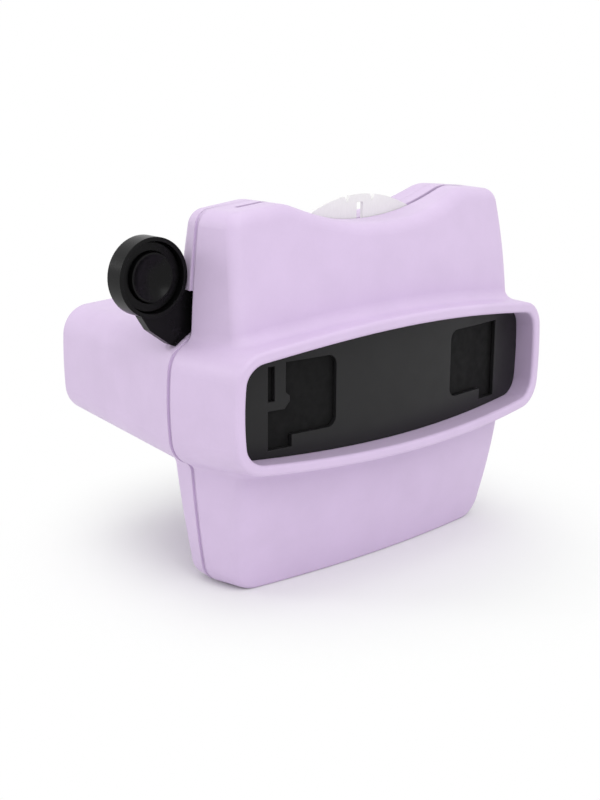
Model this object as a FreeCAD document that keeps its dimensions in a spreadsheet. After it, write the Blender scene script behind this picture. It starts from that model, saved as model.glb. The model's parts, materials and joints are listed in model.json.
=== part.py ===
import FreeCAD, Part
import math
import os
import re

import Sketcher

# Stereo slide viewer for ninety millimetre picture reels.
# Frame: +Z up, -Y towards the light window, +Y towards the eyes, +X right as seen from the window.
# The origin lies on the seam between the two shells, in the middle of the underside.

# Driving sizes in millimetres, degrees or counts
SIZES = {
    # Body outline, as half widths and heights
    "foot_half": 53.2,
    "side_bow": 323.0,
    "top_draft": 5.0,
    "foot_draft": 7.6,
    "rear_draft": 3.4,
    "top_half": 54.4,
    "top_up": 106.9,
    "crest_half": 34.8,
    "crest_up": 108.7,
    "dip_low": 101.4,
    "dip_bow": 84.0,
    "foot_round": 8.0,
    "top_round": 5.0,
    "crest_round": 12.0,
    # Depths of the body either side of the seam, measured on the centre line
    "face_bow": 350.0,
    "front_top": 15.6,
    "front_foot": 13.2,
    "front_bow": 212.0,
    "back_bow": 500.0,
    "rear_top": 8.6,
    "rear_waist": 14.8,
    "rear_foot": 10.2,
    "waist_up": 42.0,
    "front_round": 4.2,
    "rear_round": 3.8,
    "sole_round": 1.0,
    # Tube that carries the visor at the front and the eye hood at the back
    "tube_half": 63.7,
    "tube_low": 37.6,
    "tube_top": 72.4,
    "tube_side_bow": 95.0,
    "tube_flat_bow": 900.0,
    "tube_round": 9.0,
    "visor_reach": 30.5,
    "rim_half": 59.5,
    "rim_low": 40.6,
    "rim_top": 71.8,
    "rim_side_bow": 90.0,
    "rim_low_bow": 484.0,
    "rim_top_bow": 322.0,
    "rim_overrun": 1.5,
    "hood_reach": 62.9,
    "hood_half": 58.8,
    "hood_low": 39.8,
    "hood_top": 72.2,
    "hood_side_bow": 140.0,
    "hood_round": 1.5,
    "rim_round": 1.0,
    "fold_round": 3.5,
    # Walls and the groove along the seam
    "wall": 2.1,
    "hood_wall": 1.7,
    "rim_wall": 2.8,
    "seam_groove": 0.7,
    "nose_half": 14.0,
    "nose_reach": 17.0,
    "sole_trim": 0.02,
    # Dark window plate and its two windows
    "plate_recess": 8.2,
    "plate_thick": 1.3,
    "window_in": 23.5,
    "window_out": 46.4,
    "window_low": 46.8,
    "window_top": 67.4,
    "window_round": 2.8,
    "window_notch": 38.7,
    "window_notch_low": 43.4,
    "tongue_in": 40.7,
    "tongue_out": 44.2,
    "tongue_low": 54.4,
    "tongue_bulge": 39.4,
    "tongue_slot_low": 57.0,
    "tongue_slot_top": 66.7,
    "shaft_wall": 1.2,
    "shaft_gap": 0.6,
    "shaft_top": 69.0,
    # Picture reel
    "reel_radius": 45.0,
    "reel_thick": 1.0,
    "reel_y": -5.4,
    "reel_up": 63.3,
    "pairs": 7,
    "frame_inset": 13.5,
    "frame_wide": 10.4,
    "frame_tall": 11.6,
    "film_thick": 0.3,
    "slot_wide": 2.45,
    "slot_long": 5.0,
    "slot_rim": 2.3,
    "vee_angle": 6.5,
    "vee_deep": 2.0,
    "vee_wide": 2.4,
    "slot_gap": 0.3,
    # Film gate
    "gate_thick": 1.2,
    "gate_gap": 0.3,
    "gate_front_gap": 0.6,
    "gate_half": 48.0,
    "gate_top": 93.0,
    "gate_window": 11.2,
    "cradle_gap": 0.4,
    "cradle_wall": 1.8,
    "gate_screw_x": 43.5,
    "gate_screw_low": 21.5,
    "gate_screw_top": 88.5,
    "diffuser_thick": 0.6,
    # Lever, its pin and the toothed sector
    "lever_x": -31.5,
    "lever_up": 29.5,
    "lever_y": 1.8,
    "lever_thick": 3.0,
    "lever_hub": 6.0,
    "lever_sweep": 51.0,
    "limb_in": 39.5,
    "limb_out": 46.5,
    "limb_top": 40.1,
    "limb_knee": 44.0,
    "limb_knee_up": 69.0,
    "limb_neck": 36.5,
    "limb_neck_up": 73.3,
    "limb_low": 50.0,
    "lever_pin": 2.0,
    "teeth": 22,
    "teeth_ratio": 3,
    "knob_offset": 13.7,
    "knob_up": 90.4,
    "knob_radius": 10.75,
    "knob_y": 1.0,
    "knob_thick": 5.8,
    "knob_lip": 1.1,
    "knob_groove": 0.45,
    "knob_bore": 7.0,
    "knob_step": 1.8,
    "dish_gap": 0.4,
    "dish_back": 0.5,
    "dish_rim": 0.5,
    "dish_deep": 1.9,
    "notch_low": 70.0,
    "notch_top": 85.7,
    "notch_deep": 5.6,
    "notch_reach": 61.2,
    # Claw carrier behind the reel
    "carrier_thick": 1.8,
    "carrier_pin": 2.5,
    "claw_wide": 1.9,
    "claw_long": 3.0,
    "claw_leaf": 0.4,
    "claw_room": 0.4,
    "claw_tip": 0.35,
    "claw_start": 192.857,
    "stroke": 51.4286,
    "spring_radius": 4.6,
    # Eyepieces
    "lens_board_y": 43.0,
    "lens_board_thick": 2.4,
    "lens_ledge": 0.6,
    "lens_radius": 8.0,
    "lens_up": 60.6,
    "lens_dome": 1.6,
    "lens_edge": 1.0,
    "lens_ring": 0.8,
    "septum_thick": 1.6,
    "septum_tall": 24.0,
    "lens_front_room": 6.2,
    # Fasteners and fits
    "screw_radius": 1.3,
    "screw_head": 2.7,
    "head_tall": 1.6,
    "boss_radius": 3.6,
    "shell_screw_x": 45.0,
    "shell_screw_top": 97.5,
    "shell_screw_drop": 5.2,
    "shell_screw_seat": 4.4,
    "shell_screw_reach": 7.0,
    "gate_screw_reach": 10.0,
    "bumper_up": 76.0,
    "bumper_radius": 3.2,
    "running": 0.05,
    "fit": 0.15,
    "play": 0.3,
}

# Places worked out from the driving sizes
DERIVED = {
    "reel_back": "reel_y + reel_thick",
    "gate_rear": "reel_back + gate_gap",
    "gate_rear_back": "gate_rear + gate_thick",
    "gate_front_back": "reel_y - gate_front_gap",
    "gate_front": "gate_front_back - gate_thick",
    "carrier_y": "gate_rear_back + play",
    "carrier_back": "carrier_y + carrier_thick",
    "lever_back": "lever_y + lever_thick",
    "slot_mid": "reel_radius - slot_rim - slot_long / 2",
    "plate_y": "plate_recess - visor_reach",
    "gear_span": "sqrt(lever_x * lever_x + (reel_up - lever_up) * (reel_up - lever_up))",
    "gear_module": "gear_span * 2 / (teeth * (teeth_ratio + 1))",
    "cradle_radius": "reel_radius + cradle_gap",
    "lever_boss": "lever_pin + 1.6",
    "dish_half": "knob_bore - dish_gap - dish_rim",
    "dish_bow": "(dish_half * dish_half + dish_deep * dish_deep) / (2 * dish_deep)",
    "frame_x": "reel_radius - frame_inset",
    "gate_low": "reel_up - cradle_radius - cradle_wall - play",
    "shell_screw_low": "gate_low - shell_screw_drop",
    "knob_x": "-top_half - knob_offset",
}

doc = FreeCAD.newDocument("SlideViewer")
sheet = doc.addObject("Spreadsheet::Sheet", "Sizes")
for row, (alias, number) in enumerate(SIZES.items(), 1):
    sheet.set("A%d" % row, alias)
    sheet.set("B%d" % row, str(number))
    sheet.setAlias("B%d" % row, alias)
doc.recompute()

WORD = re.compile(r"[a-z][a-z_0-9]*")
FLAT = FreeCAD.Rotation(FreeCAD.Vector(1, 0, 0), 90)
UPRIGHT = FreeCAD.Rotation(0.5, 0.5, 0.5, 0.5)
nodes = []


def full(text):
    """Expression text with every alias written as a sheet reference."""
    def swap(match):
        word = match.group()
        if word in DERIVED:
            return "(%s)" % full(DERIVED[word])
        return "Sizes." + word if word in SIZES else word
    return WORD.sub(swap, text)


def value(text):
    """Number that an expression over the sheet gives."""
    result = sheet.evalExpression(full(text))
    return float(getattr(result, "Value", result))


def bind(thing, prop, text):
    thing.setExpression(prop, full(text))


def minus(text, inset):
    return "(%s) - (%s)" % (text, inset)


def box(left, right, low, top):
    return [(left, low), (right, low), (right, top), (left, top)]


def circle(across, up, radius):
    return ("circle", across, up, radius)


def mirrored(loop):
    """The same loop on the other side of the centre line."""
    if loop[0] == "circle":
        return ("circle", "-(%s)" % loop[1], loop[2], loop[3])
    flipped = []
    for index in range(len(loop) - 1, -1, -1):
        point = ("-(%s)" % loop[index][0], loop[index][1])
        arc = loop[index - 1][2:]
        flipped.append(point + arc)
    return flipped


def draw(sketch, loops):
    """Fill a sketch with loops of lines and arcs, each point and radius bound to the sheet."""
    for loop in loops:
        if loop[0] == "circle":
            draw_circle(sketch, *loop[1:])
        else:
            draw_loop(sketch, loop)


def hold(sketch, kind, place, text):
    index = sketch.addConstraint(Sketcher.Constraint(kind, *place, value(text)))
    bind(sketch, "Constraints[%d]" % index, text)


def draw_circle(sketch, across, up, radius):
    centre = FreeCAD.Vector(value(across), value(up), 0)
    index = sketch.addGeometry(Part.Circle(centre, FreeCAD.Vector(0, 0, 1), value(radius)), False)
    hold(sketch, "DistanceX", (-1, 1, index, 3), across)
    hold(sketch, "DistanceY", (-1, 1, index, 3), up)
    hold(sketch, "Radius", (index,), radius)


def arc_between(start, end, radius):
    """Arc from start to end, anticlockwise where the radius is positive."""
    along = end - start
    half = along.Length / 2
    rise = abs(radius) - math.sqrt(radius * radius - half * half)
    along.normalize()
    side = FreeCAD.Vector(along.y, -along.x, 0)
    if radius < 0:
        return Part.Arc(end, (start + end) * 0.5 - side * rise, start)
    return Part.Arc(start, (start + end) * 0.5 + side * rise, end)


def draw_loop(sketch, loop):
    first = sketch.GeometryCount
    points = [FreeCAD.Vector(value(point[0]), value(point[1]), 0) for point in loop]
    starts = []
    for index, point in enumerate(loop):
        start = points[index]
        end = points[(index + 1) % len(loop)]
        if len(point) == 3:
            radius = value(point[2])
            sketch.addGeometry(arc_between(start, end, radius), False)
            starts.append(1 if radius > 0 else 2)
        else:
            sketch.addGeometry(Part.LineSegment(start, end), False)
            starts.append(1)
    for index, point in enumerate(loop):
        following = (index + 1) % len(loop)
        end = 3 - starts[index]
        hold(sketch, "DistanceX", (-1, 1, first + index, starts[index]), point[0])
        hold(sketch, "DistanceY", (-1, 1, first + index, starts[index]), point[1])
        sketch.addConstraint(Sketcher.Constraint(
            "Coincident", first + index, end, first + following, starts[following]))
        if len(point) == 3:
            hold(sketch, "Radius", (first + index,), "abs(%s)" % point[2])


class Piece:
    """A sub-part built of pads, pockets and turnings; depths run along +Y."""

    def __init__(self, label, across="0", up="0", node=True):
        self.body = doc.addObject("PartDesign::Body", label)
        self.body.Label = label
        bind(self.body, ".Placement.Base.x", across)
        bind(self.body, ".Placement.Base.z", up)
        if node:
            nodes.append(self.body)

    def sketch(self, role, depth, loops):
        sketch = self.body.newObject("Sketcher::SketchObject", self.body.Label + "_sketch")
        planes = [plane for plane in self.body.Origin.OriginFeatures if plane.Role == role]
        sketch.AttachmentSupport = [(planes[0], "")]
        sketch.MapMode = "FlatFace"
        bind(sketch, ".AttachmentOffset.Base.z", depth)
        draw(sketch, loops)
        return sketch

    def pad(self, start, end, *loops):
        feature = self.body.newObject("PartDesign::Pad", self.body.Label + "_pad")
        feature.Profile = self.sketch("XZ_Plane", "-(%s)" % start, loops)
        feature.Reversed = True
        bind(feature, "Length", "(%s) - (%s)" % (end, start))
        return self

    def pocket(self, start, end, *loops):
        feature = self.body.newObject("PartDesign::Pocket", self.body.Label + "_pocket")
        feature.Profile = self.sketch("XZ_Plane", "-(%s)" % start, loops)
        bind(feature, "Length", "(%s) - (%s)" % (end, start))
        return feature

    def turn(self, profile):
        """Revolve a profile of (radius, depth) points about the piece's own Y axis."""
        sketch = self.sketch("XY_Plane", "0", [profile])
        feature = self.body.newObject("PartDesign::Revolution", self.body.Label + "_turn")
        feature.Profile = sketch
        feature.ReferenceAxis = (sketch, ["V_Axis"])
        feature.Angle = 360
        return self

    def pattern(self, features, count):
        """Repeat features in a full circle about the piece's own Y axis."""
        feature = self.body.newObject("PartDesign::PolarPattern", self.body.Label + "_pattern")
        feature.Originals = features
        feature.Axis = (features[0].Profile[0], ["N_Axis"])
        feature.Angle = 360
        bind(feature, "Occurrences", count)
        self.body.Tip = feature
        return self


def ring(label, across, up, outer, inner, start, end, node=True):
    """Plain ring, bush or washer about an axis along Y."""
    return Piece(label, across, up, node).turn([(inner, start), (outer, start), (outer, end), (inner, end)])


def pin(label, across, up, radius, start, end, node=True):
    return Piece(label, across, up, node).turn([("0", start), (radius, start), (radius, end), ("0", end)])


def loose_sketch(name, rotation, across, depth, loops):
    """Sketch outside any body: depth is its place along Y, or along X when upright."""
    sketch = doc.addObject("Sketcher::SketchObject", name)
    sketch.Placement = FreeCAD.Placement(FreeCAD.Vector(0, 0, 0), rotation)
    bind(sketch, ".Placement.Base.%s" % across, depth)
    draw(sketch, loops)
    return sketch


def extrude(name, start, end, loops):
    feature = doc.addObject("Part::Extrusion", name)
    feature.Base = loose_sketch(name + "_sketch", FLAT, "y", start, loops)
    feature.DirMode = "Custom"
    feature.Dir = FreeCAD.Vector(0, 1, 0)
    feature.Solid = True
    bind(feature, "LengthFwd", "(%s) - (%s)" % (end, start))
    return feature


def sweep_round(name, axis_y, profile):
    """Profile in the YZ plane swept about an upright axis, for faces bowed in plan."""
    feature = doc.addObject("Part::Revolution", name)
    feature.Source = loose_sketch(name + "_sketch", UPRIGHT, "x", "0", [profile])
    feature.Axis = FreeCAD.Vector(0, 0, 1)
    bind(feature, ".Base.y", axis_y)
    feature.Angle = 28
    feature.Symmetric = True
    feature.Solid = True
    return feature


def loft(name, stations):
    """Loft through outlines given as (depth, loop)."""
    feature = doc.addObject("Part::Loft", name)
    feature.Sections = [
        loose_sketch("%s_sketch%d" % (name, index), FLAT, "y", depth, [loop])
        for index, (depth, loop) in enumerate(stations)]
    feature.Solid = True
    feature.Ruled = True
    return feature


def combine(kind, name, shapes):
    """Boolean of the kind Common, Fuse or Cut over a list of objects."""
    if kind == "Cut":
        feature = doc.addObject("Part::Cut", name)
        feature.Base, feature.Tool = shapes
    else:
        feature = doc.addObject("Part::Multi" + kind, name)
        feature.Shapes = shapes
    return feature


def round_edges(name, base, choose):
    """Round the edges for which choose gives a radius, or one for each end."""
    doc.recompute()
    picked = []
    for index, edge in enumerate(base.Shape.Edges, 1):
        radius = choose(edge)
        if radius:
            picked.append((index, *(radius if isinstance(radius, tuple) else (radius, radius))))
    feature = doc.addObject("Part::Fillet", name)
    feature.Base = base
    feature.Edges = picked
    return feature


def folded(name, base, top):
    """Round the sharp fold where the tube comes out of the body, up to a top level."""
    doc.recompute()
    sides = {}
    for face in base.Shape.Faces:
        for edge in face.Edges:
            sides.setdefault(edge.hashCode(), []).append(face)

    def bend(edge):
        """Angle in degrees between the two faces at the middle of an edge."""
        middle = edge.valueAt((edge.FirstParameter + edge.LastParameter) / 2)
        normals = [face.normalAt(*face.Surface.parameter(middle)) for face in sides[edge.hashCode()]]
        return math.degrees(normals[0].getAngle(normals[1])) if len(normals) == 2 else 0

    def fold(edge):
        low = edge.BoundBox.YMin
        high = edge.BoundBox.YMax
        beside = max(abs(low), abs(high)) < value("front_top + 8") and high - low > 0.2
        level = value("tube_low - 4") < edge.BoundBox.ZMin and edge.BoundBox.ZMax < value(top)
        return value("fold_round") if beside and level and bend(edge) > 45 else None
    return round_edges(name, base, fold)


def spans_depth(edge):
    """True where an edge runs along the depth of its solid."""
    low = edge.BoundBox.YMin
    high = edge.BoundBox.YMax
    return high - low > 8 and high - low > 0.8 * edge.Length


def body_outline(inset, ends, foot_draft="0", top_draft="0"):
    """Front view of the body: foot, bowed sides, top corners, crests and the dip for the reel.

    The sides lie at one inset, the foot and the top at the other.
    """
    bow = "(dip_bow + %s)" % ends
    crest = minus("crest_up", ends)
    low = minus("dip_low", ends)
    sole = minus(ends, "sole_trim")
    fall = "(%s + %s - (%s))" % (low, bow, crest)
    lean = "(atan(crest_half / %s) - acos(%s / sqrt(crest_half * crest_half + %s * %s)))" % (
        fall, bow, fall, fall)
    dip_across = "%s * sin(%s)" % (bow, lean)
    dip_up = "%s + %s * (1 - cos(%s))" % (low, bow, lean)
    foot = minus("foot_half - %s" % foot_draft, inset)
    top = minus("top_half - %s" % top_draft, inset)
    shoulder = minus("top_up", ends)
    return [
        (foot, sole, "side_bow - %s" % inset), (top, shoulder),
        ("crest_half", crest), (dip_across, dip_up, "-" + bow),
        ("-(%s)" % dip_across, dip_up), ("-crest_half", crest),
        ("-(%s)" % top, shoulder, "side_bow - %s" % inset), ("-(%s)" % foot, sole),
    ]


def tube_outline(half, low, top, side_bow, low_bow, top_bow, inset):
    """Four bowed sides; the corners are rounded on the solid."""
    half = minus(half, inset)
    top = minus(top, inset)
    low = "(%s) + (%s)" % (low, inset)
    return [
        ("-(%s)" % half, low, low_bow),
        (half, low, side_bow),
        (half, top, top_bow),
        ("-(%s)" % half, top, side_bow),
    ]


def seam_outline(inset):
    return tube_outline("tube_half", "tube_low", "tube_top",
                        "tube_side_bow", "tube_flat_bow", "tube_flat_bow", inset)


def corner_radius(inset, radius):
    return max(value("%s - %s" % (radius, inset)), value("wall") / 4)


def body_block(name, inset, ends, stations):
    """Body outline drawn out in depth, with its foot, top and crest corners rounded."""
    def corner(edge):
        up = edge.BoundBox.Center.z
        across = abs(edge.BoundBox.Center.x)
        if not spans_depth(edge):
            return None
        if up < value("foot_round"):
            return corner_radius(inset, "foot_round")
        if abs(across - value("crest_half")) < 1:
            return value("crest_round")
        return corner_radius(inset, "top_round") if across > value("crest_half") else None
    block = loft(name + "_block", [
        (depth, body_outline(inset, ends, *drafts)) for depth, *drafts in stations])
    return round_edges(name + "_corners", block, corner)


def front_body(name, inset, ends):
    """Front half of the body, its face bowed in plan and in profile."""
    block = body_block(name, inset, ends, [("-visor_reach", "foot_draft", "top_draft"), ("0",)])
    face = sweep_round(name + "_face", "face_bow - front_top", [
        ("-(front_foot - %s)" % inset, "-1"), ("visor_reach", "-1"),
        ("visor_reach", "crest_up + 1"), ("-(front_top - %s)" % inset, "crest_up + 1", "front_bow"),
    ])
    return combine("Common", name, [block, face])


def rear_body(name, inset, ends):
    """Rear half of the body, shallower, deepest at the waist and bowed the other way."""
    block = body_block(name, inset, ends, [("0",), ("visor_reach", "rear_draft", "rear_draft")])
    face = sweep_round(name + "_face", "rear_top - back_bow", [
        ("rear_foot - %s" % inset, "-1"), ("rear_waist - %s" % inset, "waist_up"),
        ("rear_top - %s" % inset, "crest_up + 1"),
        ("-visor_reach", "crest_up + 1"), ("-visor_reach", "-1"),
    ])
    return combine("Common", name, [block, face])


def tube_corners(name, base, inset):
    return round_edges(name, base,
                       lambda edge: corner_radius(inset, "tube_round") if spans_depth(edge) else None)


def visor(name, inset, reach="visor_reach", thick="visor_reach + 20"):
    """Front tube, ending on a face bowed like the body."""
    rim = tube_outline("rim_half", "rim_low", "rim_top",
                       "rim_side_bow", "rim_low_bow", "rim_top_bow", inset)
    tube = loft(name + "_loft", [("-visor_reach - rim_overrun", rim), ("0", seam_outline(inset))])
    tube = tube_corners(name + "_tube", tube, inset)
    face = sweep_round(name + "_face", "face_bow - (%s)" % reach, [
        ("-(%s)" % reach, "0"), ("(%s) - (%s)" % (thick, reach), "0"),
        ("(%s) - (%s)" % (thick, reach), "crest_up"), ("-(%s)" % reach, "crest_up")])
    return combine("Common", name, [tube, face])


def hood(name, inset, end):
    """Rear tube round the eyes."""
    back = tube_outline("hood_half", "hood_low", "hood_top",
                        "hood_side_bow", "tube_flat_bow", "tube_flat_bow", inset)
    tube = loft(name + "_loft", [("0", seam_outline(inset)), (end, back)])
    return tube_corners(name, tube, inset)


def rounded_end(name, base, depth):
    """Round the outline that lies on one plane across the depth."""
    def chosen(edge):
        off = max(abs(edge.BoundBox.YMin - value(depth)), abs(edge.BoundBox.YMax - value(depth)))
        return value("hood_round") if off < 0.01 else None
    return round_edges(name, base, chosen)


def finish(shape, label):
    """Give a finished boolean its node name."""
    shape.Label = label
    nodes.append(shape)
    return shape


SCREW_PLACES = [
    (side + "shell_screw_x", up) for side in ("-", "") for up in ("shell_screw_low", "shell_screw_top")]
GATE_PLACES = [
    (side + "gate_screw_x", up) for side in ("-", "") for up in ("gate_screw_low", "gate_screw_top")]


def circles(places, radius):
    return [circle(across, up, radius) for across, up in places]


def seamed(name, whole, lip, start, end):
    """Outer form with a rebate along the seam, so that the closed shells show a groove."""
    slab = extrude(name + "_slab", start, end,
                   [box("-tube_half * 2", "tube_half * 2", "-1", "crest_up + 1")])
    lip_ring = combine("Common", name + "_lip", [lip, slab])
    main = combine("Cut", name + "_main", [whole, slab])
    return combine("Fuse", name, [main, lip_ring])


def below(name):
    """Everything under the plane that the viewer stands on."""
    return extrude(name, "-visor_reach", "visor_reach", [box("-tube_half", "tube_half", "-1", "0")])


def front_shell():
    """Window half: body front, visor, screw bosses, gate posts and the slot for the reel."""
    def rim(edge):
        points = [edge.valueAt(edge.FirstParameter + step * (edge.LastParameter - edge.FirstParameter))
                  for step in (0.0, 0.25, 0.5, 0.75, 1.0)]
        bow = value("face_bow")
        middle = value("face_bow - visor_reach")
        gaps = [abs(math.hypot(point.x, point.y - middle) - bow) for point in points]
        low = min(point.z for point in points)
        return value("rim_round") if max(gaps) < 0.02 and low > 20 else None
    body = rounded_face("front_rounded", front_body("front_whole", "0", "0"), "front_round", -6)
    whole = folded("front_folded", combine("Fuse", "front_outer", [body, visor("visor_whole", "0")]),
                   "tube_top + 8")
    lip = combine("Fuse", "front_lip_form",
                  [front_body("front_lip_body", "seam_groove", "0"), visor("visor_lip", "seam_groove")])
    outer = seamed("front_form", whole, lip, "-seam_groove", "0")
    hollow = combine("Fuse", "front_hollow", [
        front_body("front_inner", "wall", "wall"), visor("visor_inner", "rim_wall", "visor_reach + 1.4")])
    skin = combine("Cut", "front_skin", [outer, hollow])
    bosses = extrude("front_bosses", "-visor_reach", "-seam_groove", circles(SCREW_PLACES, "boss_radius"))
    posts = extrude("front_posts", "-visor_reach", "gate_front", circles(GATE_PLACES, "boss_radius - 0.8"))
    inside = combine("Fuse", "front_pegs", [bosses, posts])
    inside = combine("Common", "front_pegs_held", [inside, lip])
    skin = combine("Fuse", "front_with_pegs", [skin, inside])
    slot = extrude("reel_slot", "reel_y - slot_gap", "reel_back + slot_gap",
                   [box("-cradle_radius", "cradle_radius", "gate_top + 1", "crest_up + 1")])
    holes = extrude("front_holes", "-shell_screw_reach - 1", "0",
                    circles(SCREW_PLACES, "screw_radius + running"))
    gate_holes = extrude("front_gate_holes", "-gate_screw_reach - 0.6", "0",
                         circles(GATE_PLACES, "screw_radius + running"))
    cuts = combine("Fuse", "front_cuts", [slot, holes, gate_holes, below("front_floor")])
    shell = combine("Cut", "front_shell_form", [skin, cuts])
    return finish(round_edges("front_shell", shell, rim), "front_shell")


def rounded_face(name, base, radius, limit):
    """Round the edges between the bowed face and the sides, less so under the foot."""
    def chosen(edge):
        far = edge.BoundBox.YMax < limit if limit < 0 else edge.BoundBox.YMin > limit
        waist = abs(edge.BoundBox.ZMin - value("waist_up")) + edge.BoundBox.ZLength < 0.1
        if waist or not far:
            return None
        ends = sorted((vertex.Point for vertex in edge.Vertexes), key=lambda point: -point.x)
        return tuple(value("sole_round" if point.z < 0.1 else radius) for point in ends)
    return round_edges(name, base, chosen)


def rear_shell():
    """Eye half: shallow body back, hood, screw bosses, lever notch and nose notch."""
    body = rounded_face("rear_rounded", rear_body("rear_whole", "0", "0"), "rear_round", 2)
    eye_hood = rounded_end("hood_rounded", hood("hood_whole", "0", "hood_reach"), "hood_reach")
    whole = folded("rear_folded", combine("Fuse", "rear_outer", [body, eye_hood]), "lens_up")
    lip = combine("Fuse", "rear_lip_form", [
        rear_body("rear_lip_body", "seam_groove", "0"), hood("hood_lip", "seam_groove", "hood_reach")])
    outer = seamed("rear_form", whole, lip, "0", "seam_groove")
    hollow = combine("Fuse", "rear_hollow", [
        rear_body("rear_inner", "wall", "wall"), hood("hood_inner", "hood_wall", "hood_reach + 1")])
    skin = combine("Cut", "rear_skin", [outer, hollow])
    bosses = extrude("rear_bosses", "0", "visor_reach", circles(SCREW_PLACES, "boss_radius"))
    pin_boss = extrude("rear_pin_boss", "lever_back + 0.8", "visor_reach",
                       [circle("lever_x", "lever_up", "lever_boss")])
    stop_post = extrude("rear_stop_post", "lever_y", "visor_reach",
                        [circle("bumper_radius + play - limb_neck", "bumper_up", "bumper_radius - 1.2")])
    inside = combine("Fuse", "rear_pegs", [bosses, pin_boss, stop_post])
    inside = combine("Common", "rear_pegs_held",
                     [inside, rear_body("rear_peg_limit", "seam_groove", "wall")])
    skin = combine("Fuse", "rear_with_pegs", [skin, inside])
    holes = extrude("rear_holes", "-1", "visor_reach", circles(SCREW_PLACES, "screw_radius + running"))
    sinks = extrude("rear_sinks", "shell_screw_seat", "visor_reach",
                    circles(SCREW_PLACES, "screw_head + play"))
    pin_hole = extrude("rear_pin_hole", "lever_y", "lever_back + 3",
                       [circle("lever_x", "lever_up", "lever_pin + running")])
    reach = "(lever_sweep - play)"
    near = "-(top_half - 4)"
    notch = extrude("lever_notch", "-1", "notch_deep", [[
        (near, "lever_up + sqrt(%s ^ 2 - (%s - lever_x) ^ 2)" % (reach, near), reach),
        ("-tube_half", "lever_up + sqrt(%s ^ 2 - (tube_half + lever_x) ^ 2)" % reach),
        ("-tube_half * 2", "notch_low"), ("-tube_half * 2", "notch_top"), (near, "notch_top")]])
    nose = doc.addObject("Part::Cylinder", "nose_notch")
    bind(nose, "Radius", "nose_half")
    bind(nose, "Height", "hood_low + 4")
    bind(nose, ".Placement.Base.y", "hood_reach - nose_reach + nose_half")
    cuts = combine("Fuse", "rear_cuts", [holes, sinks, pin_hole, notch, nose, below("rear_floor")])
    return finish(combine("Cut", "rear_shell", [skin, cuts]), "rear_shell")


def window_loop(outer_side):
    """Light window with a round inner side and a notch below; outer_side lists its far edge."""
    return [
        ("window_in + window_round", "window_low"), ("window_notch", "window_low"),
        ("window_notch", "window_notch_low"), ("window_out", "window_notch_low"),
    ] + outer_side + [
        ("window_in + window_round", "window_top", "window_round"),
        ("window_in", "window_top - window_round"),
        ("window_in", "window_low + window_round", "window_round"),
    ]


def window_plate():
    """Dark curved plate at the back of the visor with two light windows and a hooked tongue in the left."""
    slab = visor("plate_slab", "rim_wall + fit", "-plate_y", "plate_thick")
    tongue_side = [
        ("window_out", "tongue_low"), ("tongue_in + 0.4", "tongue_low"),
        ("tongue_bulge", "tongue_slot_low - 0.6"), ("tongue_bulge", "tongue_slot_low + 1"),
        ("tongue_in", "tongue_slot_low + 2"), ("tongue_in", "window_top"),
    ]
    windows = extrude("plate_windows", "-visor_reach", "0", [
        window_loop([("window_out", "window_top")]), mirrored(window_loop(tongue_side)),
        mirrored(box("tongue_out", "window_out", "tongue_slot_low", "tongue_slot_top"))])
    return finish(combine("Cut", "window_plate", [slab, windows]), "window_plate")


def light_shafts():
    """Behind each window a frosted pane, then a rectangular tunnel closed against the film gate."""
    pane_y = "plate_y + plate_thick + fit"
    tunnel_y = pane_y + " + diffuser_thick + fit"
    zone = sweep_round("plate_zone", "face_bow + plate_y", [
        ("-visor_reach - 5", "0"), (tunnel_y, "0"), (tunnel_y, "crest_up"),
        ("-visor_reach - 5", "crest_up")])
    inner = box("window_in - shaft_gap", "window_out + shaft_gap",
                "window_notch_low - shaft_gap", "shaft_top")
    outer = box("window_in - shaft_gap - shaft_wall", "window_out + shaft_gap + shaft_wall",
                "window_notch_low - shaft_gap - shaft_wall", "shaft_top + shaft_wall")
    for side, change in (("left", mirrored), ("right", list)):
        name = "light_shaft_" + side
        tube = extrude(name + "_tube", "plate_y", "gate_front", [change(outer), change(inner)])
        finish(combine("Cut", name, [tube, zone]), name)
        sheet_form = visor("pane_form_" + side, "rim_wall + fit", "-(%s)" % pane_y, "diffuser_thick")
        blank = extrude("pane_blank_" + side, "-visor_reach", "gate_front", [change(outer)])
        name = "diffuser_" + side
        finish(combine("Common", name, [sheet_form, blank]), name)


def film_gates():
    """Two plates that hold the reel flat, with its cradle, film windows and claw slot."""
    spread = box("-gate_half", "gate_half", "gate_low", "gate_top")
    windows = []
    for side in ("-", ""):
        middle = side + "frame_x"
        windows.append(box(middle + " - gate_window / 2", middle + " + gate_window / 2",
                           "reel_up - gate_window / 2", "reel_up + gate_window / 2"))
    screws = circles(GATE_PLACES, "screw_radius + running")

    front = Piece("film_gate_front").pad("gate_front", "gate_front_back", spread)
    front.pocket("gate_front - 1", "gate_front_back + 1", *windows, *screws)

    rear = Piece("film_gate_rear").pad("gate_rear", "gate_rear_back", spread)
    rear.pad("gate_front_back", "gate_rear", cradle_loop())
    rear.pad("gate_front_back", "gate_rear", *circles(GATE_PLACES, "boss_radius - 0.8"))
    rear.pad("gate_rear_back", "lever_y - play", circle("lever_x", "lever_up", "lever_boss"))
    rear.pocket("gate_front_back - 1", "lever_y", *windows, *screws, claw_slot_loop(),
                circle("0", "reel_up", "carrier_pin + running"),
                circle("lever_x", "lever_up", "lever_pin + running"))


def polar(radius, angle):
    """Point about the reel axis at an angle in degrees."""
    return ("(%s) * cos(%s)" % (radius, angle), "reel_up + (%s) * sin(%s)" % (radius, angle))


CLAW_X, CLAW_UP = polar("slot_mid", "claw_start")


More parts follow.
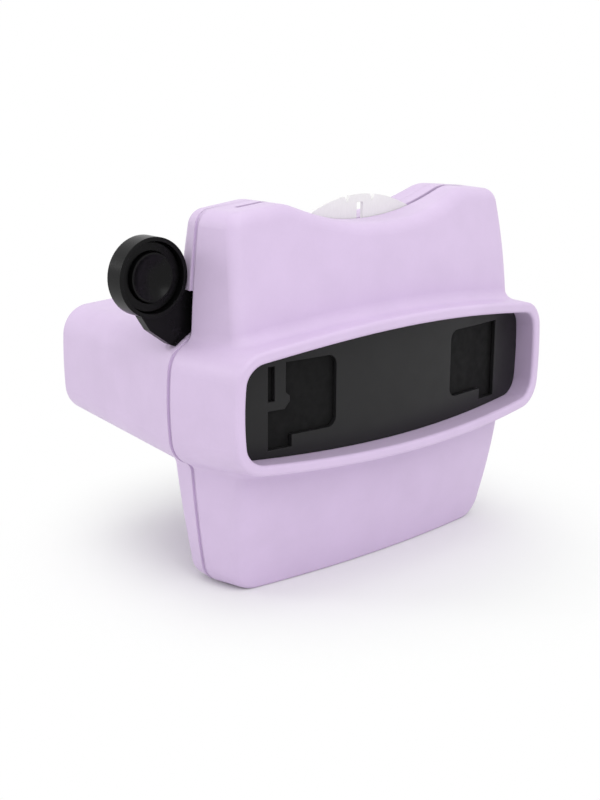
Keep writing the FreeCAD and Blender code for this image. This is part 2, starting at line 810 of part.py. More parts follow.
def cradle_loop():
    """Half ring under the reel."""
    inner = "cradle_radius"
    outer = "(cradle_radius + cradle_wall)"
    return [
        polar(outer, "200") + (outer,), polar(outer, "270") + (outer,), polar(outer, "340"),
        polar(inner, "340") + ("-" + inner,), polar(inner, "270") + ("-" + inner,), polar(inner, "200"),
    ]


def claw_slot_loop():
    """Curved slot that the claw travels in, from its rest place up through one stroke."""
    inner = "(slot_mid - claw_long / 2 - claw_room)"
    outer = "(slot_mid + claw_long / 2 + claw_room)"
    first = "(claw_start - stroke - 3.5)"
    last = "(claw_start + 3.5)"
    return [
        polar(outer, first) + (outer,), polar(outer, last),
        polar(inner, last) + ("-" + inner,), polar(inner, first),
    ]


def reel():
    """Card disc with seven pairs of picture windows, drive slots and rim notches."""
    card = Piece("reel_disc", "0", "reel_up").pad("reel_y", "reel_back", circle("0", "0", "reel_radius"))
    window = card.pocket("reel_y - 1", "reel_back + 1", *[
        box("%sframe_x - frame_wide / 2" % side, "%sframe_x + frame_wide / 2" % side,
            "-frame_tall / 2", "frame_tall / 2") for side in ("-", "")])
    card.pattern([window], "pairs")
    rim = card.pocket("reel_y - 1", "reel_back + 1",
                      box("-slot_wide / 2", "slot_wide / 2",
                          "slot_mid - slot_long / 2", "slot_mid + slot_long / 2"),
                      vee_loop("90 + vee_angle"), vee_loop("90 - vee_angle"))
    card.pattern([rim], "pairs")
    chips = []
    for index in range(2 * int(value("pairs"))):
        chip = doc.addObject("Part::Box", "film_chip%d" % index)
        bind(chip, "Length", "frame_wide - 0.1")
        bind(chip, "Width", "film_thick")
        bind(chip, "Height", "frame_tall - 0.1")
        turn = FreeCAD.Rotation(FreeCAD.Vector(0, 1, 0), -index * 180.0 / value("pairs"))
        corner = FreeCAD.Vector(value("frame_x - frame_wide / 2 + 0.05"),
                                value("reel_y + reel_thick / 2 - film_thick / 2"),
                                value("0.05 - frame_tall / 2"))
        lift = FreeCAD.Vector(0, 0, value("reel_up"))
        chip.Placement = FreeCAD.Placement(turn.multVec(corner) + lift, turn)
        chips.append(chip)
    film = doc.addObject("Part::Compound", "reel_film")
    film.Links = chips
    finish(film, "reel_film")


def vee_loop(angle):
    """Small triangle cut into the reel's rim."""
    def at(radius, shift):
        return ("(%s) * cos(%s) - (%s) * sin(%s)" % (radius, angle, shift, angle),
                "(%s) * sin(%s) + (%s) * cos(%s)" % (radius, angle, shift, angle))
    return [at("reel_radius - vee_deep", "0"), at("reel_radius + 0.3", "-vee_wide / 2"),
            at("reel_radius + 0.3", "vee_wide / 2")]


def tooth_points(count, backlash):
    """One involute tooth centred on angle zero, as (radius, angle) pairs."""
    module = value("gear_module")
    pitch = module * count / 2
    base = pitch * math.cos(math.radians(20))
    tip = pitch + 0.9 * module
    root = pitch - 1.15 * module

    def involute(radius):
        slope = math.acos(min(1.0, base / radius))
        return math.tan(slope) - slope
    half = math.pi / (2 * count) - backlash / (2 * pitch) + involute(pitch)
    start = max(base, root)
    flank = [(start + step * (tip - start) / 4, half - involute(start + step * (tip - start) / 4))
             for step in range(5)]
    rising = [(root, -half)] + [(radius, -angle) for radius, angle in flank]
    return rising + [(radius, -angle) for radius, angle in reversed(rising)]


def toothed(name, centre, count, angles, start, end, tail):
    """Toothed disc or sector: angles lists where the teeth stand, tail closes the outline."""
    points = []
    for angle in angles:
        for radius, turn in tooth_points(count, 0.12):
            points.append(centre + FreeCAD.Vector(
                radius * math.cos(angle + turn), 0, radius * math.sin(angle + turn)))
    points += tail
    shifted = [FreeCAD.Vector(point.x, start, point.z) for point in points]
    face = Part.Face(Part.makePolygon(shifted + shifted[:1]))
    feature = doc.addObject("Part::Feature", name)
    feature.Shape = face.extrude(FreeCAD.Vector(0, end - start, 0))
    return feature


def mesh_angle():
    """Direction from the lever's pivot to the reel axis."""
    return math.atan2(value("reel_up - lever_up"), value("-lever_x"))


def lever():
    """Thumb lever: knob cup, arm through the side notch, limb, hub and toothed sector."""
    arc_left = "(-notch_reach)"
    arm = Piece("lever_arm_form", node=False).pad("lever_y", "lever_back", [
        ("knob_x - 4.6", "knob_up - 8"),
        ("knob_x - 3.6", "knob_up - 10.4"),
        ("knob_x - 1.1", "knob_up - 14.2"),
        ("knob_x + 5.3", "notch_low + 1.6"),
        (arc_left, "lever_up + sqrt(lever_sweep * lever_sweep - (notch_reach + lever_x) ^ 2)",
         "-lever_sweep"),
        ("-limb_top", "lever_up + sqrt(lever_sweep * lever_sweep - (limb_top + lever_x) ^ 2)"),
        ("-limb_knee", "limb_knee_up"),
        ("-limb_out", "limb_low"),
        ("lever_x - 5.1", "lever_up - 3"),
        ("lever_x + 4.5", "lever_up + 3"),
        ("-limb_in", "limb_low + 3"),
        ("-limb_in", "limb_neck_up - 3"),
        ("-limb_neck", "limb_neck_up"),
        ("-limb_neck", "notch_top - 6"),
        ("-limb_neck - 5", "notch_top - play"),
        ("knob_x + 9", "notch_top - play"),
        ("knob_x + 6", "knob_up - 6"),
    ])
    hub = Piece("lever_hub_form", "lever_x", "lever_up", False).turn([
        ("0", "lever_y"), ("lever_hub", "lever_y"), ("lever_hub", "lever_back"), ("0", "lever_back")])
    cup = Piece("lever_cup_form", "knob_x", "knob_up", False).turn([
        ("0", "knob_y"), ("knob_radius", "knob_y"),
        ("knob_radius", "knob_y + knob_thick"), ("0", "knob_y + knob_thick")])
    centre = FreeCAD.Vector(value("lever_x"), 0, value("lever_up"))
    step = 2 * math.pi / (value("teeth") * value("teeth_ratio"))
    middle = mesh_angle()
    angles = [middle + step * index for index in range(-5, 3)]
    sector = toothed("lever_sector_form", centre, int(value("teeth * teeth_ratio")), angles,
                     value("lever_y"), value("lever_back"), [centre])
    solid = combine("Fuse", "lever_solid", [arm.body, hub.body, cup.body, sector])
    bore = pin("lever_bore_form", "lever_x", "lever_up", "lever_pin + running",
               "lever_y - 1", "lever_back + 1", False)
    dish = pin("lever_dish_form", "knob_x", "knob_up", "knob_radius - knob_lip",
               "knob_y - 1", "knob_y + knob_thick - 1", False)
    cuts = combine("Fuse", "lever_cuts", [bore.body, dish.body])
    finish(combine("Cut", "lever", [solid, cuts]), "lever")
    ring("knob_ring", "knob_x", "knob_up", "knob_radius - knob_lip - knob_groove", "knob_bore",
         "knob_y + knob_step", "knob_y + knob_thick - 1")
    Piece("knob_dish", "knob_x", "knob_up").turn([
        ("0", "knob_y + dish_back + dish_deep", "-dish_bow"),
        ("dish_half", "knob_y + dish_back"), ("dish_half + dish_rim", "knob_y + dish_back"),
        ("dish_half + dish_rim", "knob_y + knob_thick - 1"), ("0", "knob_y + knob_thick - 1")])
    pin("lever_pin", "lever_x", "lever_up", "lever_pin", "gate_rear", "lever_back + 2.8")
    ring("return_spring", "lever_x", "lever_up", "spring_radius", "lever_boss + play",
         "gate_rear_back + play", "lever_y - play")
    ring("lever_washer", "lever_x", "lever_up", "lever_hub - 1", "lever_pin + running",
         "lever_back + 0.1", "lever_back + 0.7")
    ring("lever_bumper", "bumper_radius + play - limb_neck", "bumper_up", "bumper_radius",
         "bumper_radius - 1.2 + running", "lever_y", "lever_back")


def claw_carrier():
    """Arm and pinion on the reel axis; the lever's sector turns it one picture per stroke."""
    arm = Piece("carrier_arm_form", node=False).pad("carrier_y", "carrier_back", [
        ("-7", "reel_up - 14"),
        ("-22", CLAW_UP + " - 9.6"),
        (CLAW_X + " - 1", CLAW_UP + " - 4.4"),
        (CLAW_X + " - 3.4", CLAW_UP + " - 0.6"),
        (CLAW_X + " - 1.6", CLAW_UP + " + 2.4"),
        (CLAW_X + " + 2", CLAW_UP + " + 1.8"),
        ("-22", CLAW_UP + " - 2.4"),
        ("-9", "reel_up - 4"),
    ])
    arm.pocket("carrier_y - 1", "carrier_back + 1", claw_tooth_loop("0.35"))
    arm.pocket("carrier_y - 1", "carrier_back + 1", circle(*LEAF_RIVET, "0.8"))
    centre = FreeCAD.Vector(0, 0, value("reel_up"))
    count = int(value("teeth"))
    facing = mesh_angle() + math.pi
    angles = [facing + (index + 0.5) * 2 * math.pi / count for index in range(count)]
    pinion = toothed("carrier_pinion_form", centre, count, angles,
                     value("carrier_y"), value("lever_back - 0.2"), [])
    solid = combine("Fuse", "carrier_solid", [arm.body, pinion])
    bore = pin("carrier_bore_form", "0", "reel_up", "carrier_pin + running",
               "carrier_y - 1", "lever_back + 1", False)
    finish(combine("Cut", "claw_carrier", [solid, bore.body]), "claw_carrier")
    Piece("carrier_pin", "0", "reel_up").turn([
        ("0", "gate_rear"), ("carrier_pin", "gate_rear"), ("carrier_pin", "lever_back + 0.1"),
        ("carrier_pin + 1.8", "lever_back + 0.1"), ("carrier_pin + 1.8", "lever_back + 0.9"),
        ("0", "lever_back + 0.9")])
    claw = Piece("claw").pad("carrier_back + 0.02", "carrier_back + claw_leaf", leaf_loop())
    claw.pad("reel_y - claw_tip", "carrier_back + claw_leaf", claw_tooth_loop("0"))
    claw.pocket("carrier_back - 1", "carrier_back + 1", circle(*LEAF_RIVET, "0.95"))
    Piece("claw_rivet", *LEAF_RIVET).turn([
        ("0", "carrier_y + 0.2"), ("0.75", "carrier_y + 0.2"), ("0.75", "carrier_back + claw_leaf + play"),
        ("1.3", "carrier_back + claw_leaf + play"), ("1.3", "carrier_back + claw_leaf + 0.8"),
        ("0", "carrier_back + claw_leaf + 0.8")])


def claw_tooth_loop(gap):
    """Block of the claw across the reel's drive slot, in line with the slot."""
    def at(along, aside):
        radius = "slot_mid + (%s)" % along
        return ("(%s) * cos(claw_start) - (%s) * sin(claw_start)" % (radius, aside),
                "reel_up + (%s) * sin(claw_start) + (%s) * cos(claw_start)" % (radius, aside))
    half_long = "(claw_long / 2 + %s)" % gap
    half_wide = "(claw_wide / 2 + %s)" % gap
    return [at("-" + half_long, "-" + half_wide), at(half_long, "-" + half_wide),
            at(half_long, half_wide), at("-" + half_long, half_wide)]


LEAF_ROOT = (CLAW_X + " + 18", CLAW_UP + " - 6.2")
LEAF_RIVET = (LEAF_ROOT[0] + " - 1.6", LEAF_ROOT[1] + " + 0.55")


def leaf_loop():
    """Flat spring from the root edge out to the claw's tooth."""
    return [
        (LEAF_ROOT[0] + " - 0.65", LEAF_ROOT[1] + " - 1.9"),
        (LEAF_ROOT[0] + " + 0.65", LEAF_ROOT[1] + " + 1.9"),
        (CLAW_X + " - 0.6", CLAW_UP + " + 1.6"),
        (CLAW_X + " - 1.9", CLAW_UP + " - 1.6"),
    ]


def eyepieces():
    """Board across the hood with two lenses and their rings, and the wall between the eyes."""
    form = hood("board_form", "hood_wall + fit", "hood_reach")
    slab = extrude("board_slab", "lens_board_y", "lens_board_y + lens_board_thick",
                   [box("-tube_half * 2", "tube_half * 2", "-1", "crest_up")])
    blank = combine("Common", "board_blank", [form, slab])
    centres = [("-frame_x", "lens_up"), ("frame_x", "lens_up")]
    sight = extrude("board_sight", "lens_board_y - 1", "lens_board_y + lens_ledge",
                    circles(centres, "lens_radius - 0.8"))
    seat = extrude("board_seat", "lens_board_y + lens_ledge", "lens_board_y + lens_board_thick + 1",
                   circles(centres, "lens_radius + fit"))
    cuts = combine("Fuse", "board_cuts", [sight, seat])
    finish(combine("Cut", "lens_board", [blank, cuts]), "lens_board")
    front = "lens_board_y + lens_ledge + 0.4"
    back = "lens_board_y + lens_ledge + 0.4 + lens_edge"
    dome = "(lens_radius * lens_radius + lens_dome * lens_dome) / (2 * lens_dome)"
    for side, across in (("left", "-frame_x"), ("right", "frame_x")):
        Piece("lens_" + side, across, "lens_up").turn([
            ("0", front + " - lens_dome", dome), ("lens_radius", front),
            ("lens_radius", back, dome), ("0", back + " + lens_dome")])
        ring("lens_ring_" + side, across, "lens_up", "lens_radius + lens_ring", "lens_radius - lens_ring",
             "lens_board_y + lens_board_thick", "lens_board_y + lens_board_thick + lens_ring")
    septum = doc.addObject("Part::Box", "septum")
    bind(septum, "Length", "septum_thick")
    bind(septum, "Width", "lens_board_y - lens_front_room")
    bind(septum, "Height", "septum_tall")
    bind(septum, ".Placement.Base.x", "-septum_thick / 2")
    bind(septum, ".Placement.Base.y", "lens_front_room")
    bind(septum, ".Placement.Base.z", "lens_up - septum_tall / 2 - 3.4")
    finish(septum, "septum")


def screws(label, places, head_at, reach, head_end):
    """Pan-head screws in one node, heads towards the eyes."""
    parts = []
    for index, (across, up) in enumerate(places):
        screw = Piece("%s_%d" % (label, index), across, up, False)
        screw.turn([("0", "-(%s)" % reach), ("screw_radius", "-(%s)" % reach), ("screw_radius", head_at),
                    ("screw_head", head_at), ("screw_head", "%s + 1" % head_at),
                    ("screw_head - 0.7", head_end), ("0", head_end)])
        parts.append(screw.body)
    group = doc.addObject("Part::Compound", label)
    group.Links = parts
    return finish(group, label)


front_shell()
rear_shell()
window_plate()
light_shafts()
film_gates()
reel()
claw_carrier()
lever()
eyepieces()
screws("shell_screws", SCREW_PLACES, "shell_screw_seat", "shell_screw_reach",
       "shell_screw_seat + head_tall")
screws("gate_screws", GATE_PLACES, "gate_rear_back", "gate_screw_reach", "gate_rear_back + head_tall")
doc.recompute()

faults = [thing.Label for thing in doc.Objects if {"Invalid", "Error"} & set(thing.State)]
for node in nodes:
    if node.Shape.isNull() or not node.Shape.isValid():
        faults.append(node.Label + " shape")
if faults:
    raise RuntimeError("failed: " + ", ".join(faults))

os.makedirs("parts", exist_ok=True)
for node in nodes:
    node.Shape.exportStep("parts/%s.step" % node.Label)
    print("%-18s %9.1f mm3  %d solids" % (node.Label, node.Shape.Volume, len(node.Shape.Solids)))
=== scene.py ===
import json
import math

import bmesh
import bpy
from mathutils import Matrix, Vector


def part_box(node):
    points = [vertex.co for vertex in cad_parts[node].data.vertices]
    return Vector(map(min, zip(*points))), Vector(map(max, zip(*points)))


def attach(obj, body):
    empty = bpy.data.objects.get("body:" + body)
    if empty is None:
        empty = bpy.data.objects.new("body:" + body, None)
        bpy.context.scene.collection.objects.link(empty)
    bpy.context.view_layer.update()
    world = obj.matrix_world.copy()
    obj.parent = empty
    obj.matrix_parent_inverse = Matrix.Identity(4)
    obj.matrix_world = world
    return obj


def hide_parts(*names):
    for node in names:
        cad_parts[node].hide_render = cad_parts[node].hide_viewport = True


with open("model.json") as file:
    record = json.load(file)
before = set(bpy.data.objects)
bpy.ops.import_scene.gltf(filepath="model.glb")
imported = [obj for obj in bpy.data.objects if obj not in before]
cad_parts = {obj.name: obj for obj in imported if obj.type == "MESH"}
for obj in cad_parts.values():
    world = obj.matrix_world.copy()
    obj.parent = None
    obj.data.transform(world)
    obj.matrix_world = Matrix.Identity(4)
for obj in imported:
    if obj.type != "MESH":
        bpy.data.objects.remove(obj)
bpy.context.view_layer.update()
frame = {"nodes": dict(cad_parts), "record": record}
nodes = frame["nodes"]
scene = bpy.context.scene


class Finish:
    """A material whose colour, roughness and bump come from noise in the object's own space."""

    def __init__(self, name, **constants):
        self.material = bpy.data.materials.new(name)
        self.material.use_nodes = True
        self.tree = self.material.node_tree
        self.shader = self.tree.nodes["Principled BSDF"]
        for socket, number in constants.items():
            self.shader.inputs[socket.replace("_", " ")].default_value = number
        self.place = self.tree.nodes.new("ShaderNodeTexCoord").outputs["Object"]

    def link(self, source, target):
        self.tree.links.new(source, target)

    def noise(self, size, detail=3.0, stretch=(1, 1, 1)):
        """Noise whose grains are about size metres across."""
        texture = self.tree.nodes.new("ShaderNodeTexNoise")
        texture.inputs["Scale"].default_value = 1 / size
        texture.inputs["Detail"].default_value = detail
        mapping = self.tree.nodes.new("ShaderNodeMapping")
        mapping.inputs["Scale"].default_value = stretch
        self.link(self.place, mapping.inputs["Vector"])
        self.link(mapping.outputs["Vector"], texture.inputs["Vector"])
        return texture.outputs["Fac"]

    def ramp(self, factor, *stops):
        """Colour ramp through (position, colour) stops."""
        ramp = self.tree.nodes.new("ShaderNodeValToRGB")
        elements = ramp.color_ramp.elements
        while len(elements) < len(stops):
            elements.new(1)
        for element, (position, colour) in zip(elements, stops):
            element.position = position
            element.color = (*colour, 1)
        self.link(factor, ramp.inputs["Fac"])
        return ramp.outputs["Color"]

    def mix(self, factor, first, second, blend="MIX"):
        node = self.tree.nodes.new("ShaderNodeMix")
        node.data_type = "RGBA"
        node.blend_type = blend
        factor_socket, first_socket, second_socket = node.inputs[0], node.inputs[6], node.inputs[7]
        factor_socket.default_value = 1
        for socket, source in ((factor_socket, factor), (first_socket, first), (second_socket, second)):
            if isinstance(source, bpy.types.NodeSocket):
                self.link(source, socket)
            elif isinstance(source, (int, float)):
                socket.default_value = source
            else:
                socket.default_value = (*source, 1)
        return node.outputs[2]

    def spread(self, factor, low, high, start=0.3, end=0.7):
        """Map a noise onto a range of numbers."""
        node = self.tree.nodes.new("ShaderNodeMapRange")
        limits = {"From Min": start, "From Max": end, "To Min": low, "To Max": high}
        for socket, number in limits.items():
            node.inputs[socket].default_value = number
        self.link(factor, node.inputs["Value"])
        return node.outputs["Result"]

    def edges(self):
        """One on convex edges, nought elsewhere: the mask of a painted edge highlight."""
        shape = self.tree.nodes.new("ShaderNodeNewGeometry")
        return self.spread(shape.outputs["Pointiness"], 0, 1, 0.52, 0.62)

    def colour(self, source):
        self.link(source, self.shader.inputs["Base Color"])
        return self

    def rough(self, low, high, size):
        self.link(self.spread(self.noise(size), low, high), self.shader.inputs["Roughness"])
        return self

    def relief(self, height, depth, strength, corner=0.0):
        """Bump from a height, on normals rounded over corner metres at sharp edges."""
        bump = self.tree.nodes.new("ShaderNodeBump")
        bump.inputs["Distance"].default_value = depth
        bump.inputs["Strength"].default_value = strength
        self.link(height, bump.inputs["Height"])
        if corner:
            bevel = self.tree.nodes.new("ShaderNodeBevel")
            bevel.samples = 6
            bevel.inputs["Radius"].default_value = corner
            self.link(bevel.outputs["Normal"], bump.inputs["Normal"])
        self.link(bump.outputs["Normal"], self.shader.inputs["Normal"])
        return self


def toned(colour, factor):
    """Colour made darker or lighter by a factor."""
    return tuple(channel * factor for channel in colour)


def moulded(name, colour, low, high, grain, corner, **constants):
    """Moulded plastic: faint mottling, fine grain, convex edges made paler as a painted highlight."""
    finish = Finish(name, **constants)
    mottled = finish.ramp(finish.noise(0.011),
                          (0.3, toned(colour, 0.975)), (0.7, toned(colour, 1.025)))
    specks = finish.spread(finish.noise(0.0009), 0.0, 0.05)
    speckled = finish.mix(specks, mottled, toned(colour, 0.8))
    # Convex edges are made paler in noisy patches: a painted highlight.
    edge_highlight_amount = finish.spread(finish.noise(0.004), 0.0, 0.10, 0.45, 0.75)
    edge_highlighted = finish.mix(edge_highlight_amount, speckled, toned(colour, 1.14))
    finish.colour(finish.mix(finish.edges(), speckled, edge_highlighted))
    finish.rough(low, high, 0.006)
    finish.relief(finish.noise(grain), 0.00006, 0.12, corner)
    return finish.material


LILAC = (0.637, 0.51, 0.715)
finishes = {
    "lilac_shell": moulded("lilac_plastic", LILAC, 0.40, 0.50, 0.0005, 0.0004,
                           Specular_IOR_Level=0.35, Sheen_Weight=0.08, Sheen_Roughness=0.5),
    "dark_plate": moulded("dark_plastic", (0.014, 0.014, 0.0145), 0.36, 0.46, 0.0004, 0.0003,
                          Specular_IOR_Level=0.22),
    "black_inner": moulded("black_plastic", (0.010, 0.010, 0.0105), 0.50, 0.62, 0.0004, 0.0002,
                           Specular_IOR_Level=0.20),
    "black_lever": moulded("lever_plastic", (0.003, 0.003, 0.0032), 0.24, 0.33, 0.0005, 0.00025,
                           Specular_IOR_Level=0.13),
}

frosted = Finish("frosted_sheet", Transmission_Weight=0.1, IOR=1.45, Specular_IOR_Level=0.08)
# The near-black pane colour is painted shade, so the windows read as dark as the shaded space behind
# them.
frosted.colour(frosted.ramp(frosted.noise(0.002),
                            (0.3, (0.006, 0.006, 0.0062)), (0.7, (0.009, 0.009, 0.0092))))
frosted.rough(0.55, 0.7, 0.003).relief(frosted.noise(0.0003), 0.00005, 0.3)
finishes["frosted_sheet"] = frosted.material

card = Finish("reel_card", Specular_IOR_Level=0.25)
fibres = card.noise(0.0006, 5.0, (1, 1, 0.25))
card.colour(card.mix(card.spread(fibres, 0.0, 0.35),
                     card.ramp(card.noise(0.012), (0.3, (0.82, 0.82, 0.81)), (0.7, (0.85, 0.85, 0.84))),
                     (0.74, 0.735, 0.725)))
card.rough(0.55, 0.7, 0.004).relief(fibres, 0.00005, 0.2, 0.0001)
finishes["reel_card"] = card.material

film = Finish("film", Transmission_Weight=0.5, IOR=1.5)
film.colour(film.ramp(film.noise(0.004),
                      (0.3, (0.03, 0.05, 0.12)), (0.5, (0.16, 0.10, 0.06)), (0.7, (0.05, 0.10, 0.07))))
film.rough(0.08, 0.16, 0.002).relief(film.noise(0.002), 0.00002, 0.1)
finishes["film"] = film.material


def steel(name, colour, low, high):
    """Drawn steel with a fine grain along one way."""
    finish = Finish(name, Metallic=1.0)
    grain = finish.noise(0.0008, 4.0, (1, 0.15, 1))
    finish.colour(finish.mix(finish.spread(grain, 0.0, 0.4), colour, toned(colour, 0.75)))
    finish.rough(low, high, 0.001).relief(grain, 0.00003, 0.15, 0.00015)
    return finish.material


finishes["spring_steel"] = steel("spring_steel", (0.55, 0.55, 0.57), 0.24, 0.34)
finishes["pin_steel"] = steel("zinc_steel", (0.52, 0.52, 0.53), 0.32, 0.44)

rubber = Finish("bumper_rubber", Specular_IOR_Level=0.3)
rubber.colour(rubber.ramp(rubber.noise(0.001),
                          (0.3, (0.016, 0.016, 0.016)), (0.7, (0.024, 0.024, 0.024))))
rubber.rough(0.7, 0.85, 0.001).relief(rubber.noise(0.0004), 0.00008, 0.3)
finishes["bumper_rubber"] = rubber.material

lens = Finish("lens_clear", Transmission_Weight=1.0, IOR=1.49)
lens.colour(lens.ramp(lens.noise(0.006), (0.3, (0.96, 0.97, 0.98)), (0.7, (0.98, 0.99, 0.99))))
lens.rough(0.01, 0.03, 0.004).relief(lens.noise(0.003), 0.000005, 0.05)
finishes["lens_clear"] = lens.material

slots = {part["node"]: part["material_slot"] for part in frame["record"]["subparts"]}
for name, node in nodes.items():
    node.data.materials.clear()
    node.data.materials.append(finishes[slots[name]])


def mesh_piece(name, mesh, body, material):
    """Piece of the scene's own that moves with a body."""
    piece = bpy.data.objects.new(name, mesh)
    scene.collection.objects.link(piece)
    mesh.materials.append(material)
    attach(piece, body)
    return piece


def lathe(profile, steps):
    """Closed turned form from (radius, depth) points about the Y axis, as a bmesh."""
    form = bmesh.new()
    rings = []
    for radius, depth in profile:
        if radius == 0:
            rings.append([form.verts.new((0, depth, 0))])
            continue
        turn = [2 * math.pi * step / steps for step in range(steps)]
        rings.append([form.verts.new((radius * math.cos(angle), depth, radius * math.sin(angle)))
                      for angle in turn])
    for first, second in zip(rings, rings[1:]):
        for step in range(steps):
            following = (step + 1) % steps
            corners = [first[step % len(first)], first[following % len(first)],
                       second[following % len(second)], second[step % len(second)]]
            form.faces.new(list(dict.fromkeys(corners)))
    bmesh.ops.recalc_face_normals(form, faces=form.faces)
    return form


def cut(solid, cutter):
    """Mesh of solid with cutter taken away."""
    base = bpy.data.objects.new("base", solid)
    tool = bpy.data.objects.new("tool", cutter)
    for thing in (base, tool):
        scene.collection.objects.link(thing)
    change = base.modifiers.new("cut", "BOOLEAN")
    change.object = tool
    change.solver = "EXACT"
    changed = base.evaluated_get(bpy.context.evaluated_depsgraph_get())
    result = bpy.data.meshes.new_from_object(changed)
    for thing in (base, tool):
        bpy.data.objects.remove(thing)
    return result


def cross_recess(depth, reach, width, taper):
    """Cross that tapers to a share of its size, as the cutter for a screw head's recess."""
    form = bmesh.new()
    for long_axis in (0, 2):
        size = [width, depth, width]
        size[long_axis] = reach
        for vert in bmesh.ops.create_cube(form, size=1)["verts"]:
            narrow = taper if vert.co.y < 0 else 1
            scale = (size[0] * narrow, size[1], size[2] * narrow)
            vert.co = Vector(place * factor for place, factor in zip(vert.co, scale))
    mesh = bpy.data.meshes.new("cross")
    form.to_mesh(mesh)
    return mesh


# Screws, in metres: radii of shank and head, and the recess's depth, reach, width and taper
SCREW = 0.0013
HEAD = 0.0027
POINT = 0.0006
RECESS = (0.0018, 0.0030, 0.00062, 0.45)
TURN_STEPS = 48


def screws(node, seat, tip, head_end):
    """Pan-head screws with cross recesses at the four places of a CAD node, each turned its own way."""
    low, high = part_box(node)
    form = bmesh.new()
    tall = head_end - seat
    profile = [(0, tip), (SCREW * 0.7, tip), (SCREW, tip + POINT), (SCREW, seat), (HEAD, seat),
               (HEAD, seat + tall * 0.45), (HEAD * 0.9, seat + tall * 0.78),
               (HEAD * 0.66, head_end - 0.00006), (0, head_end)]
    solid = bpy.data.meshes.new("screw")
    lathe(profile, TURN_STEPS).to_mesh(solid)
    recess = cross_recess(*RECESS)
    recess.transform(Matrix.Translation((0, head_end, 0)))
    screw = cut(solid, recess)
    for across in (low.x + HEAD, high.x - HEAD):
        for up in (low.z + HEAD, high.z - HEAD):
            copy = screw.copy()
            turned = Matrix.Rotation(0.4 + 31 * up, 4, "Y")
            copy.transform(Matrix.Translation((across, 0, up)) @ turned)
            form.from_mesh(copy)
    mesh = bpy.data.meshes.new(node + "_crossed")
    form.to_mesh(mesh)
    for face in mesh.polygons:
        face.use_smooth = True
    mesh.set_sharp_from_angle(angle=math.radians(35))
    piece = mesh_piece(node + "_crossed", mesh, "housing", finishes["pin_steel"])
    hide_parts(node)


screws("shell_screws", seat=0.0044, tip=-0.0070, head_end=0.0060)
screws("gate_screws", seat=-0.0029, tip=-0.0100, head_end=-0.0013)


def studio_floor(name, bounce, colour, glow, near, far):
    """White floor: lights the object as a plain sheet, shows its shadow, and is white beyond far."""
    material = bpy.data.materials.new(name)
    material.use_nodes = True
    tree = material.node_tree
    tree.nodes.clear()

    def shader(kind, socket, number):
        node = tree.nodes.new(kind)
        node.inputs[socket].default_value = number
        return node.outputs[0]

    def blend(kind, factor, first, second):
        node = tree.nodes.new(kind)
        sockets = list(node.inputs)
        if factor is not None:
            tree.links.new(factor, sockets.pop(0))
        tree.links.new(first, sockets[0])
        tree.links.new(second, sockets[1])
        return node.outputs[0]

    place = tree.nodes.new("ShaderNodeTexCoord").outputs["Object"]
    away = tree.nodes.new("ShaderNodeVectorMath")
    away.operation = "LENGTH"
    tree.links.new(place, away.inputs[0])
    fade = tree.nodes.new("ShaderNodeMapRange")
    fade.interpolation_type = "SMOOTHSTEP"
    fade.inputs["From Min"].default_value = near
    fade.inputs["From Max"].default_value = far
    tree.links.new(away.outputs["Value"], fade.inputs["Value"])
    shaded = blend("ShaderNodeAddShader", None, shader("ShaderNodeBsdfDiffuse", "Color", colour),
                   shader("ShaderNodeEmission", "Strength", glow))
    shown = blend("ShaderNodeMixShader", fade.outputs["Result"], shaded,
                  shader("ShaderNodeEmission", "Strength", 1.0))
    plain = shader("ShaderNodeBsdfDiffuse", "Color", bounce)
    whole = blend("ShaderNodeMixShader", seen(tree), plain, shown)
    out = tree.nodes.new("ShaderNodeOutputMaterial")
    tree.links.new(whole, out.inputs["Surface"])
    return material


def seen(tree):
    """One for rays from the camera, through glass or off a gloss, nought for the rest."""
    path = tree.nodes.new("ShaderNodeLightPath")
    total = path.outputs["Is Camera Ray"]
    for name in ("Is Glossy Ray", "Is Transmission Ray"):
        add = tree.nodes.new("ShaderNodeMath")
        add.operation = "ADD"
        add.use_clamp = True
        tree.links.new(total, add.inputs[0])
        tree.links.new(path.outputs[name], add.inputs[1])
        total = add.outputs[0]
    return total


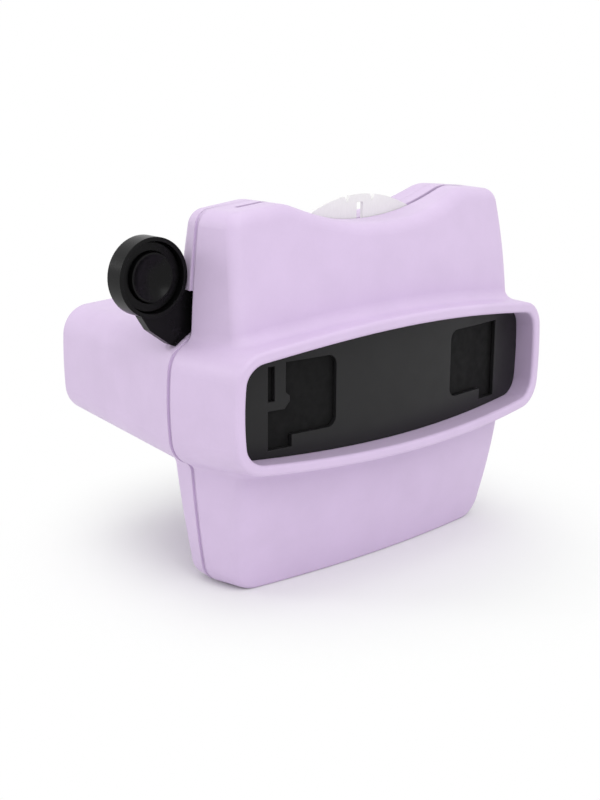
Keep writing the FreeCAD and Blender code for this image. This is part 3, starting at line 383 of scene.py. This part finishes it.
FLOOR_SPAN = 40.0
FLOOR_LEVEL = -0.00005
SHADOW_NEAR = 0.045
SHADOW_FAR = 0.11
floor_mesh = bpy.data.meshes.new("floor")
corners = [(-FLOOR_SPAN, -FLOOR_SPAN, 0), (FLOOR_SPAN, -FLOOR_SPAN, 0),
           (FLOOR_SPAN, FLOOR_SPAN, 0), (-FLOOR_SPAN, FLOOR_SPAN, 0)]
floor_mesh.from_pydata(corners, [], [(0, 1, 2, 3)])
floor_mesh.materials.append(studio_floor(
    "floor_white", bounce=(0.90, 0.90, 0.90, 1), colour=(0.835, 0.85, 0.832, 1), glow=0.03,
    near=SHADOW_NEAR, far=SHADOW_FAR))
floor = bpy.data.objects.new("floor", floor_mesh)
floor.location.z = FLOOR_LEVEL
scene.collection.objects.link(floor)


def studio_air(strength):
    """World that lights the object at a strength and is plain white where it is seen."""
    world = bpy.data.worlds.new("studio")
    world.use_nodes = True
    tree = world.node_tree
    air = tree.nodes["Background"]
    white = tree.nodes.new("ShaderNodeBackground")
    for background, level in ((air, strength), (white, 1.0)):
        background.inputs["Color"].default_value = (1, 1, 1, 1)
        background.inputs["Strength"].default_value = level
    choose = tree.nodes.new("ShaderNodeMixShader")
    tree.links.new(seen(tree), choose.inputs[0])
    tree.links.new(air.outputs[0], choose.inputs[1])
    tree.links.new(white.outputs[0], choose.inputs[2])
    tree.links.new(choose.outputs[0], tree.nodes["World Output"].inputs["Surface"])
    return world


scene.world = studio_air(0.75)

LAMP_AIM = Vector((0, 0, 0.05))


def panel(name, place, size, power):
    """Plain white square lamp facing the object."""
    light = bpy.data.lights.new(name, "AREA")
    light.size = size
    light.energy = power
    lamp = bpy.data.objects.new(name, light)
    lamp.location = place
    lamp.rotation_euler = (LAMP_AIM - Vector(place)).to_track_quat("-Z", "Y").to_euler()
    scene.collection.objects.link(lamp)


panel("key", (-0.28, -0.76, 0.85), size=0.7, power=4.0)
panel("overhead", (0.05, 0.05, 1.2), size=0.9, power=3.2)
panel("left", (-0.80, 0.75, 0.50), size=0.35, power=1.7)

# Camera solved from the photograph
EYE = Vector((-0.2611, -0.2741, 0.1476))
TARGET = Vector((-0.01785, 0.0, 0.0488))
ROLL = math.radians(0.31)
LENS = 58.06
camera_data = bpy.data.cameras.new("camera")
camera_data.lens = LENS
camera = bpy.data.objects.new("camera", camera_data)
scene.collection.objects.link(camera)
facing = (TARGET - EYE).to_track_quat("-Z", "Y").to_matrix().to_4x4()
camera.matrix_world = Matrix.Translation(EYE) @ facing @ Matrix.Rotation(ROLL, 4, "Z")
scene.camera = camera
scene.view_settings.view_transform = "Standard"
